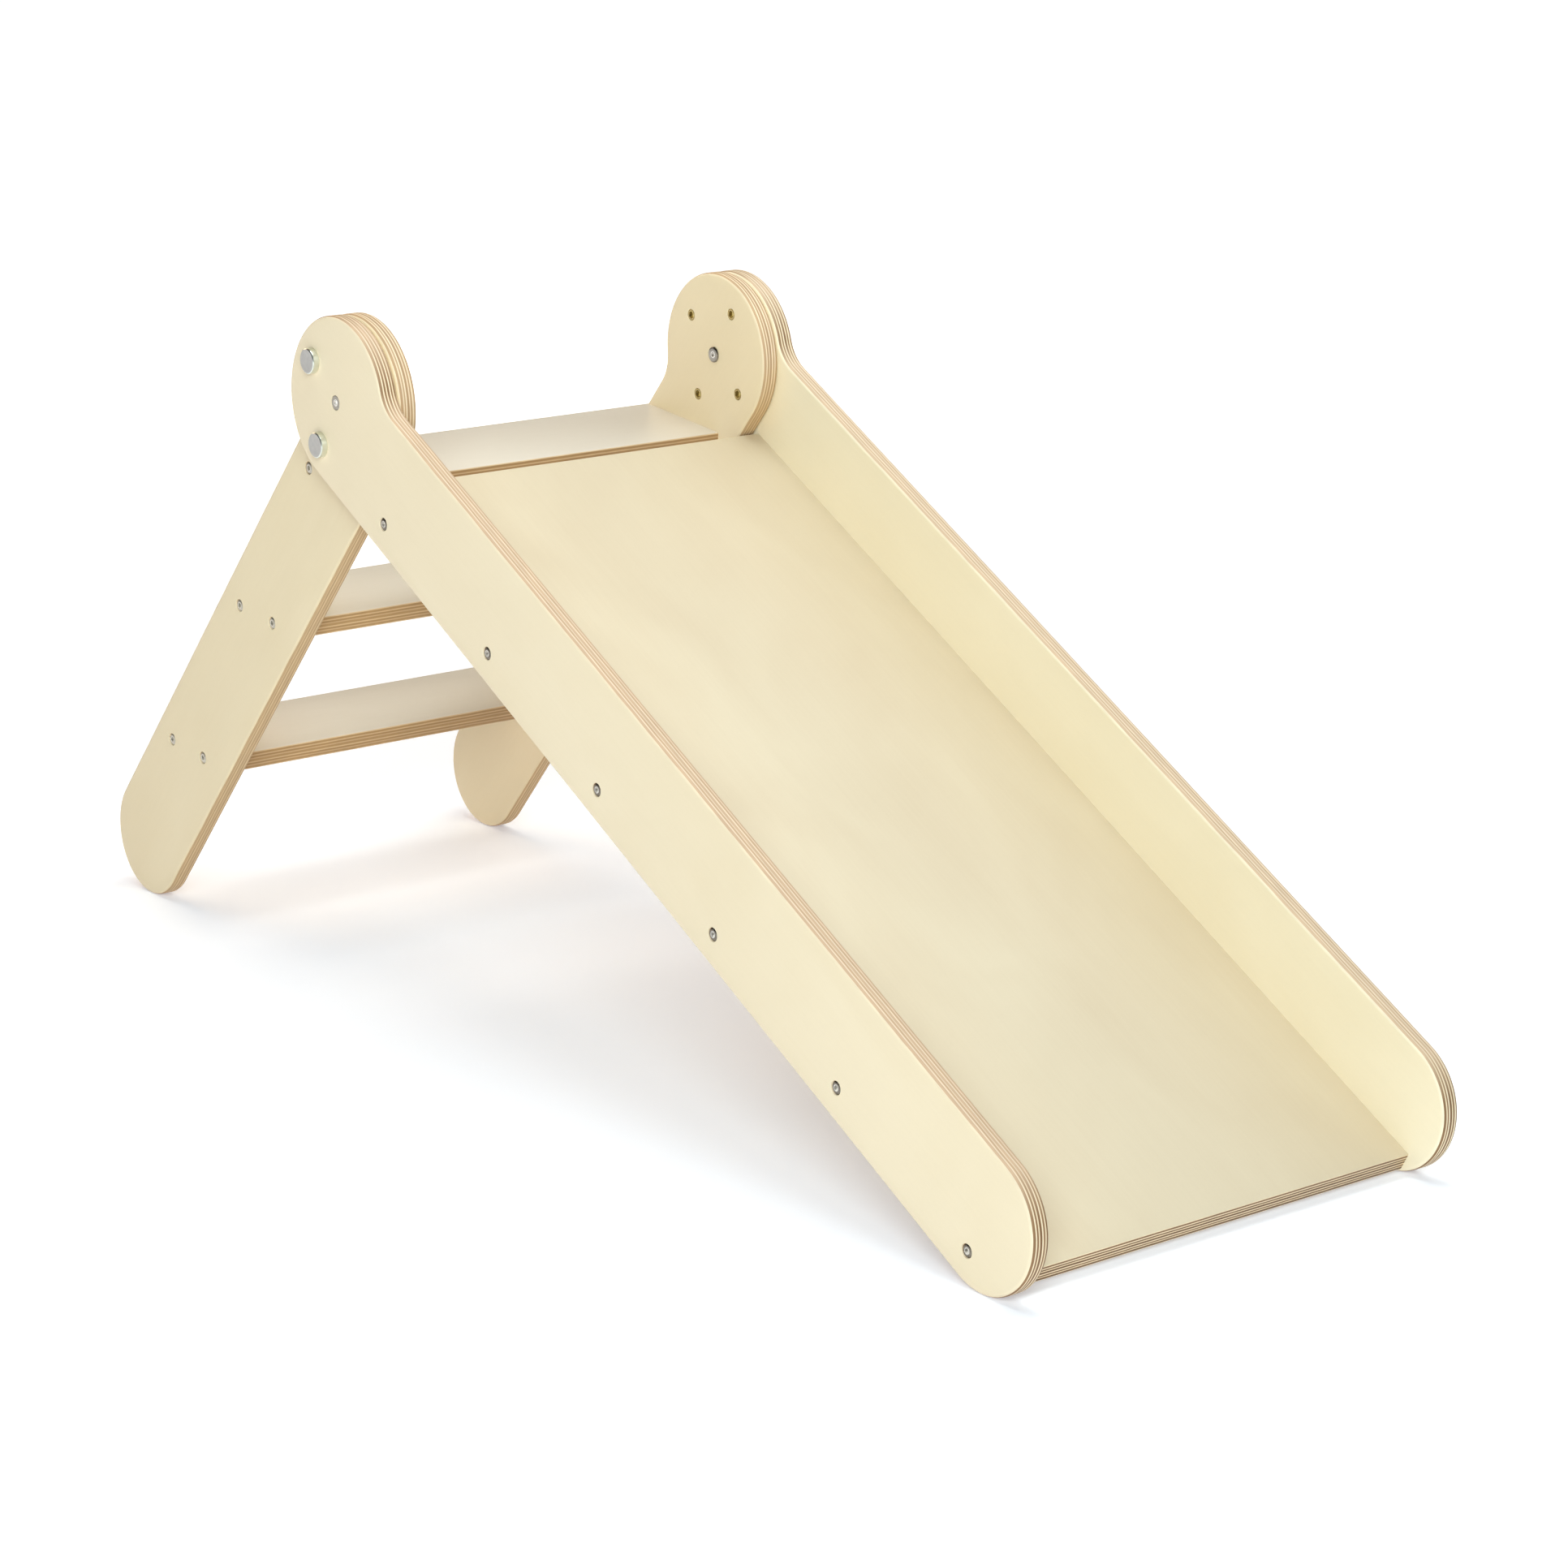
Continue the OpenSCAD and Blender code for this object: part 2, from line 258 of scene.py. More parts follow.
def strip_outline(length, depth, corner):
    """Rectangle with small round corners; one end is on X = 0 and its middle line on Y = 0."""
    bm = bmesh.new()
    lo, hi = -depth / 2 + corner, depth / 2 - corner
    v = first_vert(bm, (corner, -depth / 2, 0))
    for x, y, centre in (
        (length - corner, -depth / 2, (length - corner, lo, 0)),
        (length, hi, (length - corner, hi, 0)),
        (corner, depth / 2, (corner, hi, 0)),
        (0, lo, (corner, lo, 0)),
    ):
        v = line_to(bm, v, (x, y, 0))
        v = arc_from(bm, v, centre, math.pi / 2, CORNER_STEPS)
    return bm, close_outline(bm)


def edges_at(verts):
    """All edges that meet the given vertices, each of them once, in a fixed order."""
    return list(dict.fromkeys(e for v in verts for e in v.link_edges))


def bore_wall(bm, x, y, profile, segments=40):
    """Turns a profile of (radius, height) points round an upright axis at x, y."""
    v = first_vert(bm, (x + profile[0][0], y, profile[0][1]))
    made = [v]
    for r, z in profile[1:]:
        v = line_to(bm, v, (x + r, y, z))
        made.append(v)
    bmesh.ops.spin(
        bm,
        geom=made + edges_at(made),
        cent=(x, y, 0),
        axis=(0, 0, 1),
        angle=2 * math.pi,
        steps=segments,
        use_merge=True,
    )


def loop_at(bm, z):
    """Boundary edges at height z."""
    return [
        e for e in bm.edges if e.is_boundary and all(abs(v.co.z - z) < LEVEL for v in e.verts)
    ]


def slab(bm, face, thickness, edge_round, holes=(), steps=6):
    """Makes a board from its outline face: rounded edges, flat faces and bored holes.

    holes holds (x, y, profile), where a profile is a list of (radius, height) points. An end that
    stands at a face opens that face; a profile that ends at radius 0 is a blind hole.
    """
    half = thickness / 2
    depth = half - edge_round
    bmesh.ops.inset_region(
        bm, faces=[face], thickness=0, depth=depth, use_even_offset=True, use_boundary=True
    )
    for i in range(steps):
        a, b = (i * math.pi / 2 / steps, (i + 1) * math.pi / 2 / steps)
        bmesh.ops.inset_region(
            bm,
            faces=[face],
            thickness=edge_round * (math.cos(a) - math.cos(b)),
            depth=edge_round * (math.sin(b) - math.sin(a)),
            use_even_offset=True,
        )
    bmesh.ops.delete(bm, geom=[face], context="FACES_ONLY")
    everything = bm.verts[:] + bm.edges[:] + bm.faces[:]
    bmesh.ops.mirror(bm, geom=everything, axis="Z", merge_dist=MERGE)
    for x, y, profile in holes:
        bore_wall(bm, x, y, profile)
    bmesh.ops.remove_doubles(bm, verts=bm.verts, dist=MERGE)
    for z in (half, -half):
        bmesh.ops.triangle_fill(
            bm, use_beauty=True, edges=loop_at(bm, z), normal=(0, 0, math.copysign(1, z))
        )
    bmesh.ops.recalc_face_normals(bm, faces=bm.faces)
    for f in bm.faces:
        f.smooth = abs(f.normal.z) < FLAT
    return bm


def turned(profile, segments=40):
    """Turns a profile of (radius, height) points round the Z axis into a closed or open shell."""
    bm = bmesh.new()
    # Marks where the plating is painted bright: a painted glint in the socket
    bm.verts.layers.float.new("socket_glint")
    bore_wall(bm, 0, 0, profile, segments)
    bmesh.ops.remove_doubles(bm, verts=bm.verts, dist=0.0005 * MM)
    return bm


def sink_hexagon(bm, z, across, depth):
    """Sinks six walls into the open ring at height z, and returns the edges at their foot.

    An attribute marks them, where the plating is painted bright: a painted reflection of the light
    the socket catches.
    """
    rim = loop_at(bm, z)
    radius = across / 2 / math.cos(math.pi / 6)
    ring = bmesh.ops.create_circle(bm, cap_ends=False, segments=6, radius=radius)["verts"]
    for v in ring:
        v.co.z = z
    hexagon = edges_at(ring)
    bmesh.ops.triangle_fill(bm, use_beauty=True, edges=rim + hexagon, normal=(0, 0, 1))
    walls = bmesh.ops.extrude_edge_only(bm, edges=hexagon)["geom"]
    low = [g for g in walls if isinstance(g, bmesh.types.BMVert)]
    bmesh.ops.translate(bm, verts=low, vec=(0, 0, -depth))
    socket_glint = bm.verts.layers.float["socket_glint"]
    for v in ring + low:
        v[socket_glint] = 1.0
    made = [g for g in walls if isinstance(g, bmesh.types.BMEdge)]
    return [e for e in made if all(v in low for v in e.verts)]


def add_socket(bm, z, across, depth, drill=0.6 * MM):
    """Sinks a hexagonal socket with a shallow drill point into the ring at height z."""
    bottom = bmesh.ops.contextual_create(bm, geom=sink_hexagon(bm, z, across, depth))["faces"]
    point = bmesh.ops.poke(bm, faces=bottom)["verts"]
    bmesh.ops.translate(bm, verts=point, vec=(0, 0, -drill))
    # The drill point is painted bright with the socket, as painted glint
    point[0][bm.verts.layers.float["socket_glint"]] = 1.0


def ridges(radius, depth, pitch, start, end):
    """Profile points of a ridged shank from height start down to height end."""
    out = []
    for i in range(int((start - end) / pitch)):
        z = start - i * pitch
        out += [(radius - depth, z), (radius, z - 0.35 * pitch), (radius - depth, z - 0.7 * pitch)]
    return out


# ---------------------------------------------------------------------------
# Materials
# ---------------------------------------------------------------------------
def linear(hex_colour):
    """sRGB hex to a linear RGBA colour."""
    out = []
    for i in (1, 3, 5):
        c = int(hex_colour[i : i + 2], 16) / 255
        out.append(c / 12.92 if c <= 0.04045 else ((c + 0.055) / 1.055) ** 2.4)
    return (*out, 1.0)


def node(tree, kind, settings=None, **links):
    """Adds a node with its settings and links, and returns it.

    settings are the node's properties; "stops" are a colour ramp's (position, hex colour) pairs.
    links are values or sockets for its inputs, named, or numbered as i0, i1 and so on.
    """
    n = tree.nodes.new(kind)
    for key, value in (settings or {}).items():
        if key != "stops":
            setattr(n, key, value)
            continue
        elements = n.color_ramp.elements
        elements.remove(elements[1])
        for i, (position, colour) in enumerate(value):
            stop = elements.new(position) if i else elements[0]
            stop.position, stop.color = position, linear(colour)
    for key, value in links.items():
        socket = n.inputs[int(key[1:]) if key[1:].isdigit() else key.replace("_", " ")]
        if isinstance(value, bpy.types.NodeSocket):
            tree.links.new(value, socket)
        else:
            socket.default_value = value
    return n


def new_material(name):
    """Empty material with its shader; returns the material, its tree and the shader."""
    mat = bpy.data.materials.new(name)
    mat.use_nodes = True
    tree = mat.node_tree
    shader = next(n for n in tree.nodes if n.type == "BSDF_PRINCIPLED")
    return mat, tree, shader


# Relative thickness of the eleven plies, since sanding leaves the two face veneers thin; half a
# glue line as a share of the board; and how far the plies wander up and down
PLIES = (0.8, 1.2, 0.85, 0.95, 0.9, 1.3, 0.85, 1.0, 0.9, 1.25, 0.8)
GLUE_HALF = 0.006
PLY_WANDER = 0.8 * MM


def ply_stops(outer, light, dark, glue):
    """Colour stops through the board: pale and dark plies by turns, a thin glue line between.

    The two outer plies are the face veneers, with their own tone.
    """
    stops = []
    low = 0.0
    for i, share in enumerate(PLIES):
        high = low + share / sum(PLIES)
        tones = (light, dark)[i % 2]
        colour = tones[(i // 2) % len(tones)] if 0 < i < len(PLIES) - 1 else outer
        stops += [(low + GLUE_HALF, colour), (high - GLUE_HALF, colour)]
        if i < len(PLIES) - 1:
            stops.append((high, glue))
        low = high
    return stops


MATH, MIX, RANGE = "ShaderNodeMath", "ShaderNodeMix", "ShaderNodeMapRange"
MULTIPLY_ADD = {"operation": "MULTIPLY_ADD"}
NOISE, RAMP, MAPPING = "ShaderNodeTexNoise", "ShaderNodeValToRGB", "ShaderNodeMapping"
TINT = {"data_type": "RGBA", "blend_type": "MULTIPLY"}


def birch_plywood(name, face_tones, long_tones, end_tones, rough):
    """Birch plywood under clear lacquer.

    The face is rotary-cut veneer: nearly plain cream, with very soft clouds and faint long grain
    and pores. The edges show eleven plies by turns pale and brown, with thin glue lines between
    them; they stand out where the edge runs across the grain and are faint along it. The board
    attribute holds each point's place in its own board in metres: along the grain, across it, and
    through the board. The end attribute is 1 where an edge cuts across the grain, else 0. A third
    attribute tints each board: partly its sheet's own tone, partly painted light and shade.
    """
    mat, tree, shader = new_material(name)
    place = node(tree, "ShaderNodeAttribute", {"attribute_name": "board"}).outputs["Vector"]
    end = node(tree, "ShaderNodeAttribute", {"attribute_name": "end"}).outputs["Fac"]
    mm = node(
        tree, "ShaderNodeVectorMath", {"operation": "SCALE"}, i0=place, Scale=1 / MM
    ).outputs[0]

    # Patterns, each with the size of its patches in mm along, across and through the board
    patterns = {}
    for pattern, size, detail, warp in (
        ("clouds", (170, 90, 90), 2.0, 0.6),
        ("grain", (70, 2.2, 2.2), 3.0, 0.2),
        ("pores", (6, 0.5, 0.5), 2.0, 0.0),
        ("wander", (45, 45, 6), 2.0, 0.0),
        ("fibres", (14, 14, 0.35), 2.0, 0.0),
        ("blotches", (22, 22, 2.2), 1.0, 0.0),
    ):
        at = node(tree, MAPPING, None, Vector=mm, Scale=[1 / v for v in size]).outputs[0]
        made = node(tree, NOISE, None, Vector=at, Scale=1.0, Detail=detail, Distortion=warp)
        patterns[pattern] = made.outputs["Fac"]

    figure = node(
        tree, MATH, MULTIPLY_ADD, i0=patterns["grain"], i1=0.25, i2=patterns["clouds"]
    ).outputs[0]
    face = node(
        tree, RAMP, {"stops": [(0.36, face_tones[1]), (0.90, face_tones[0])]}, Fac=figure
    ).outputs["Color"]
    # Pores darken the face by a few percent
    pitted = node(tree, RANGE, None, Value=patterns["pores"], i1=0.60, i2=0.80, i3=1.0, i4=0.965)
    face = node(tree, MIX, TINT, i0=1.0, i6=face, i7=pitted.outputs[0]).outputs[2]

    # Depth through the board, from 0 at one face to 1 at the other; the plies wander by a hair
    depth = node(tree, "ShaderNodeSeparateXYZ", None, Vector=place).outputs["Z"]
    moved = node(
        tree, MATH, MULTIPLY_ADD, i0=patterns["wander"], i1=PLY_WANDER, i2=depth
    ).outputs[0]
    lowest = PLY_WANDER / 2 - BOARD / 2
    level = node(tree, RANGE, None, Value=moved, i1=lowest, i2=lowest + BOARD).outputs[0]
    along = node(tree, RAMP, {"stops": ply_stops(*long_tones)}, Fac=level).outputs["Color"]
    across = node(tree, RAMP, {"stops": ply_stops(*end_tones)}, Fac=level).outputs["Color"]
    cut = node(tree, RANGE, None, Value=end, i1=0.10, i2=0.75).outputs[0]
    edge = node(tree, MIX, {"data_type": "RGBA"}, i0=cut, i6=along, i7=across).outputs[2]
    # Fibres follow the plies, and in blotches a ply takes the lacquer darker
    for pattern, lo, hi, dark, light in (
        ("fibres", 0.30, 0.70, 0.94, 1.04),
        ("blotches", 0.35, 0.70, 0.95, 1.03),
    ):
        shade = node(tree, RANGE, None, Value=patterns[pattern], i1=lo, i2=hi, i3=dark, i4=light)
        edge = node(tree, MIX, TINT, i0=1.0, i6=edge, i7=shade.outputs[0]).outputs[2]

    # The veneer's colour gives way to the plies just below the face
    below = node(tree, MATH, {"operation": "ABSOLUTE"}, i0=depth).outputs[0]
    bare = node(
        tree, RANGE, None, Value=below, i1=BOARD / 2 - 0.10 * MM, i2=BOARD / 2 - 0.40 * MM
    ).outputs[0]
    base = node(tree, MIX, {"data_type": "RGBA"}, i0=bare, i6=face, i7=edge).outputs[2]
    # Each board's tint: its sheet's tone, and on some boards painted light or painted shade
    tone_and_painted_light = node(tree, "ShaderNodeAttribute", {"attribute_name": "tone_and_painted_light"}).outputs["Vector"]
    base = node(tree, MIX, TINT, i0=1.0, i6=base, i7=tone_and_painted_light).outputs[2]
    tree.links.new(base, shader.inputs["Base Color"])
    gloss = node(tree, RANGE, None, Value=bare, i3=rough, i4=rough + 0.15).outputs[0]
    tree.links.new(gloss, shader.inputs["Roughness"])
    relief = node(
        tree, MATH, MULTIPLY_ADD, i0=patterns["pores"], i1=0.5, i2=patterns["grain"]
    ).outputs[0]
    bump = node(tree, "ShaderNodeBump", None, Height=relief, Distance=0.00004, Strength=0.25)
    tree.links.new(bump.outputs[0], shader.inputs["Normal"])
    return mat


def mottled(tones):
    """Ramp settings that turn a noise pattern into two tones."""
    return {"stops": [(0.3, tones[0]), (0.7, tones[1])]}


def plated(name, tones, socket_glint_tone, rough):
    """Plated metal with faint cloudy wear in its gloss, in patches of about 2 mm.

    The head takes the two tones, mottled by the wear; the socket, marked by an attribute, is
    painted bright, a painted reflection of the light it catches.
    """
    mat, tree, shader = new_material(name)
    shader.inputs["Metallic"].default_value = 1.0
    where = node(tree, "ShaderNodeTexCoord").outputs["Object"]
    wear = node(tree, NOISE, None, Vector=where, Scale=1 / (2 * MM), Detail=3.0).outputs["Fac"]
    head = node(tree, RAMP, mottled(tones), Fac=wear).outputs["Color"]
    # Painted glint: the socket's plating is painted bright, a painted reflection
    socket_glint = node(tree, "ShaderNodeAttribute", {"attribute_name": "socket_glint"}).outputs["Fac"]
    base = node(tree, MIX, {"data_type": "RGBA"}, i0=socket_glint, i6=head, i7=linear(socket_glint_tone))
    tree.links.new(base.outputs[2], shader.inputs["Base Color"])
    gloss = node(tree, RANGE, None, Value=wear, i1=0.3, i2=0.7, i3=rough - 0.06, i4=rough + 0.06)
    tree.links.new(gloss.outputs[0], shader.inputs["Roughness"])
    bump = node(tree, "ShaderNodeBump", None, Height=wear, Distance=0.00002, Strength=0.2)
    tree.links.new(bump.outputs[0], shader.inputs["Normal"])
    return mat


def turned_and_polished(name, face_tones, side_tone):
    """Steel disc with a satin turned face, grey from its fine rings, and a mirror-bright rim."""
    mat, tree, shader = new_material(name)
    shader.inputs["Metallic"].default_value = 1.0
    coords = node(tree, "ShaderNodeTexCoord")
    facing = node(tree, "ShaderNodeSeparateXYZ", None, Vector=coords.outputs["Normal"]).outputs["Y"]
    flat = node(tree, MATH, {"operation": "ABSOLUTE"}, i0=facing).outputs[0]
    on_face = node(tree, RANGE, None, Value=flat, i1=0.90, i2=0.97).outputs[0]
    # Faint cloudiness in patches of about 3 mm
    cloud = node(tree, NOISE, None, Vector=coords.outputs["Object"], Scale=1 / (3 * MM), Detail=2.0)
    face = node(tree, RAMP, mottled(face_tones), Fac=cloud.outputs["Fac"]).outputs["Color"]
    base = node(tree, MIX, {"data_type": "RGBA"}, i0=on_face, i6=linear(side_tone), i7=face)
    tree.links.new(base.outputs[2], shader.inputs["Base Color"])
    rough = node(tree, RANGE, None, Value=on_face, i3=0.28, i4=0.36)
    tree.links.new(rough.outputs[0], shader.inputs["Roughness"])
    return mat


def nylon(name, tones):
    """Natural moulded nylon: waxy, slightly see-through off-white, faintly cloudy."""
    mat, tree, shader = new_material(name)
    where = node(tree, "ShaderNodeTexCoord").outputs["Object"]
    grain = node(tree, NOISE, None, Vector=where, Scale=1 / (0.8 * MM), Detail=2.0)
    base = node(tree, RAMP, mottled(tones), Fac=grain.outputs["Fac"])
    tree.links.new(base.outputs["Color"], shader.inputs["Base Color"])
    shader.inputs["Roughness"].default_value = 0.45
    shader.inputs["Subsurface Weight"].default_value = 0.1
    shader.inputs["Subsurface Scale"].default_value = 0.5 * MM
    return mat


# Ply colours: outer plies, pale plies, dark plies, glue line
LONG_EDGE = ("#EAD5B4", ("#E2CAAC", "#DAC0A0"), ("#C9A785", "#C19E7A"), "#B6906A")
END_EDGE = ("#ECD8B6", ("#E9D3AF", "#E2CAA4"), ("#84603B", "#8C6843", "#7D5936"), "#A07C56")
LADDER_LONG_EDGE = ("#E6D2AE", ("#D8BD96", "#D0B38B"), ("#BC9C74", "#B4946B"), "#A98860")
LADDER_END_EDGE = ("#ECD8B8", ("#EDD8BA", "#E6CFB0"), ("#B8946E", "#C09D78", "#B08C68"), "#C2A07C")
DECK_END_EDGE = ("#DFCAA6", ("#E6D0AC", "#DEC7A0"), ("#6E4B2A", "#7A5635", "#694625"), "#94714B")
STEP_EDGE = ("#D8B98E", ("#CDAA7C", "#C5A173"), ("#AC8555", "#A67F50"), "#9C764A")

SIDE_FACE = ("#F0DDBB", "#EBD7B3")
SIDE_PLYWOOD = birch_plywood(
    "birch plywood, clear matt lacquer", SIDE_FACE, LONG_EDGE, END_EDGE, 0.50
)
LADDER_PLYWOOD = birch_plywood(
    "birch plywood, clear matt lacquer, ladder", SIDE_FACE, LADDER_LONG_EDGE, LADDER_END_EDGE, 0.50
)
DECK_PLYWOOD = birch_plywood(
    "birch plywood, clear satin lacquer", ("#D2C1A4", "#CBB89A"), LONG_EDGE, DECK_END_EDGE, 0.48
)
STEP_PLYWOOD = birch_plywood(
    "birch plywood, clear satin lacquer, step", ("#E6DAC8", "#E0D3C0"), STEP_EDGE, STEP_EDGE, 0.38
)
# The deck screws' heads are painted dark: painted shade for the dark end of the room that they
# mirror; the mottle between the two tones is wear.
SCREW_STEEL = plated("zinc plated steel, screw", ("#6E665B", "#8A8175"), "#FBF8F2", 0.28)
STEP_SCREW_STEEL = plated("zinc plated steel, step screw", ("#B5AEA0", "#CBC4B6"), "#F4F0E6", 0.40)
PIVOT_STEEL = plated("nickel plated steel, pivot", ("#8B867D", "#A59F95"), "#F6F3EE", 0.24)
KNOB_STEEL = turned_and_polished("polished steel, turned knob", ("#B2B1AE", "#BAB9B5"), "#DFE3D8")
STUD_STEEL = plated("zinc plated steel, thread", ("#8C8A86", "#A9A6A0"), "#A9A6A0", 0.30)
INSERT_ZINC = plated("yellow zinc plated steel, insert", ("#97824C", "#BAA263"), "#F0E2B4", 0.30)
WASHER_NYLON = nylon("natural nylon, washer", ("#DAD5C8", "#E6E2D8"))

# ---------------------------------------------------------------------------
# Pieces
# ---------------------------------------------------------------------------
# Factors on red, green and blue that tint each board. The near ladder board is painted darker:
# painted shade for the light falling off towards the ladder. The far slide board is painted
# lighter: painted light on its inner face. The others make a board a little lighter or darker.
BOARD_TONES_AND_PAINTED_LIGHT = {
    "slide_side_board_left": (1.04, 1.09, 1.12),
    "ladder_side_board_right": (0.96, 0.95, 0.90),
    "ladder_side_board_left": (1.0, 0.99, 0.94),
    "slide_deck_board": (1.03, 1.04, 1.03),
    "top_step_board": (0.92, 0.92, 0.92),
    "middle_step_board": (1.02, 1.06, 1.08),
    "bottom_step_board": (0.94, 0.95, 0.95),
}
# How far apart in the sheet the pieces are cut, along the grain and across it
SHEET_STEP = Vector((1.37, 0.91, 0))

piece_count = 0


def finish_mesh(name, bm, place, left, body, cad_node, material, grain=None, end=None):
    """Puts a finished mesh in its place, gives it its finish, and ties it to the frame.

    grain says which local axes run along the grain, across it and through the board. end is the
    cut across the grain: None takes it from which way each edge faces.
    """
    global piece_count
    piece_count += 1
    if grain:
        bm.normal_update()
        board = bm.verts.layers.float_vector.new("board")
        across = bm.verts.layers.float.new("end")
        tone_and_painted_light = bm.verts.layers.float_vector.new("tone_and_painted_light")
        # Each board is cut from its own part of the sheet
        shift = piece_count * SHEET_STEP
        for v in bm.verts:
            v[board] = Vector([v.co[a] for a in grain]) + shift
            flat = v.normal.xy
            v[across] = end if end is not None else abs(flat.x) / max(flat.length, 0.001)
            # The board's tint, with painted light or painted shade on some boards
            v[tone_and_painted_light] = BOARD_TONES_AND_PAINTED_LIGHT.get(name, (1.0, 1.0, 1.0))
    if left:
        place = Matrix.Scale(-1, 4, (0, 1, 0)) @ place
    bmesh.ops.transform(bm, matrix=place, verts=bm.verts)
    if place.determinant() < 0:
        bmesh.ops.reverse_faces(bm, faces=bm.faces)
    mesh = bpy.data.meshes.new(name)
    bm.to_mesh(mesh)
    bm.free()
    mesh.set_sharp_from_angle(angle=SHARP)
    mesh.materials.append(material)
    piece = bpy.data.objects.new(name, mesh)
    bpy.context.scene.collection.objects.link(piece)
    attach(piece, body)
    if cad_node:
        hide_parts(cad_node)
    return piece


def local(point, along, across):
    """Coordinates of a point in the plane of a board, from the fold axis."""
    away = point - FOLD_AXIS
    return away.dot(along), away.dot(across)


def through(radius, half, rim=0.25 * MM):
    """Profile of a plain through hole with its rims just broken."""
    return [(radius + rim, half), (radius, half - rim), (radius, rim - half), (radius + rim, -half)]


def screw_seat(half):
    """Profile of a countersunk through hole, its head on the +Z face."""
    rim, bore = SCREW_HEAD_R + CLEAR, SCREW_R + CLEAR
    land = half - SCREW_SINK - SEAT_LAND
    return [
        (rim + SEAT_RIM, half), (rim, half - SEAT_RIM), (rim, land),
        (bore, land - (rim - bore)), (bore, -half),
    ]


def flipped(profile):
    """The same profile, bored from the board's other face."""
    return [(r, -z) for r, z in profile]


def slide_side(left):
    """Outer board of the chute, with its seats for screws, pivot bolt and lock studs."""
    half = BOARD / 2
    holes = [(*local(p, DOWN_SLIDE, OFF_DECK), screw_seat(half)) for p in deck_screw_points()]
    seat, bore = BOLT_HEAD_R + CLEAR, SLEEVE_R + CLEAR
    head = half - BOLT_HEAD_T - SCREW_SINK
    holes.append((0, 0, [
        (seat + 0.2 * MM, half), (seat, half - 0.2 * MM), (seat, head), (bore, head), (bore, -half)
    ]))
    stud_bore = through(STUD_R + STUD_CLEAR, half)
    holes += [(*local(p, DOWN_SLIDE, OFF_DECK), stud_bore) for p in lock_points()[:2]]
    bm, face = rail_outline(rail_length(SLIDE_ANGLE))
    slab(bm, face, BOARD, EDGE_ROUND, holes)
    middle = FOLD_AXIS.copy()
    middle.y = -(SLIDE_OUT - half)
    side = "left" if left else "right"
    finish_mesh(
        f"slide_side_board_{side}", bm, axes(middle, DOWN_SLIDE, OFF_DECK, RIGHT), left,
        "slide", f"slide_side_{side}", SIDE_PLYWOOD, grain=(0, 1, 2),
    )


def ladder_side(left):
    """Side board of the ladder, with its seats for step screws, sleeve and inserts."""
    half = BOARD / 2
    # This board's own +Z faces inwards, so what is seated from outside is turned over
    holes = [
        (*local(p, DOWN_LADDER, OFF_LADDER), flipped(screw_seat(half)))
        for step in STEP_AT
        for p in step_screw_points(step)
    ]
    holes.append((0, 0, through(SLEEVE_R + 0.06 * MM, half)))
    insert_bore = through(INSERT_R + CLEAR, half, 0.15 * MM)
    holes += [(*local(p, DOWN_LADDER, OFF_LADDER), insert_bore) for p in lock_points()]
    bm, face = rail_outline(rail_length(LADDER_ANGLE))
    slab(bm, face, BOARD, EDGE_ROUND, holes)
    middle = FOLD_AXIS.copy()
    middle.y = -(LADDER_OUT - half)
    side = "left" if left else "right"
    finish_mesh(
        f"ladder_side_board_{side}", bm, axes(middle, DOWN_LADDER, OFF_LADDER, LEFT), left,
        "ladder", f"ladder_side_{side}", LADDER_PLYWOOD, grain=(0, 1, 2),
    )


def screw_pilots(places, half):
    """Blind holes for screws' shanks at the given X, bored from both ends of a board."""
    low = half - (SCREW_LEN + SCREW_SINK - BOARD)
    pilot = [(SCREW_R + CLEAR, half), (SCREW_R + CLEAR, low), (0, low - DRILL_POINT)]
    return [(x, 0, profile) for x in places for profile in (pilot, flipped(pilot))]


def deck():
    """Sliding board between the two side boards, square cut at both ends."""
    bm, face = strip_outline(DECK_LEN, BOARD, ARRIS)
    places = [local(p, DOWN_SLIDE, OFF_DECK)[0] - DECK_START for p in deck_screw_points()]
    slab(bm, face, 2 * SLIDE_IN, END_ROUND, screw_pilots(places, SLIDE_IN), steps=2)
    start = FOLD_AXIS + DECK_START * DOWN_SLIDE - DECK_DROP * OFF_DECK
    start.y = 0
    finish_mesh(
        "slide_deck_board", bm, axes(start, DOWN_SLIDE, OFF_DECK, RIGHT), False,
        "slide", "slide_deck", DECK_PLYWOOD, grain=(0, 2, 1), end=1.0,
    )


def step(name):
    """Step between the ladder's side boards; its grain runs from side to side."""
    bm, face = strip_outline(STEP_W, BOARD, STEP_ARRIS)
    places = [STEP_W / 2 + s * STEP_SCREW_PITCH / 2 for s in (-1, 1)]
    slab(bm, face, 2 * LADDER_IN, END_ROUND, screw_pilots(places, LADDER_IN), steps=2)
    start = step_corner(name) - BOARD / 2 * STEP_UP
    start.y = 0
    finish_mesh(
        f"{name}_step_board", bm, axes(start, STEP_BACK, STEP_UP, LEFT), False,
        "ladder", f"{name}_step", STEP_PLYWOOD, grain=(2, 0, 1), end=0.0,
    )


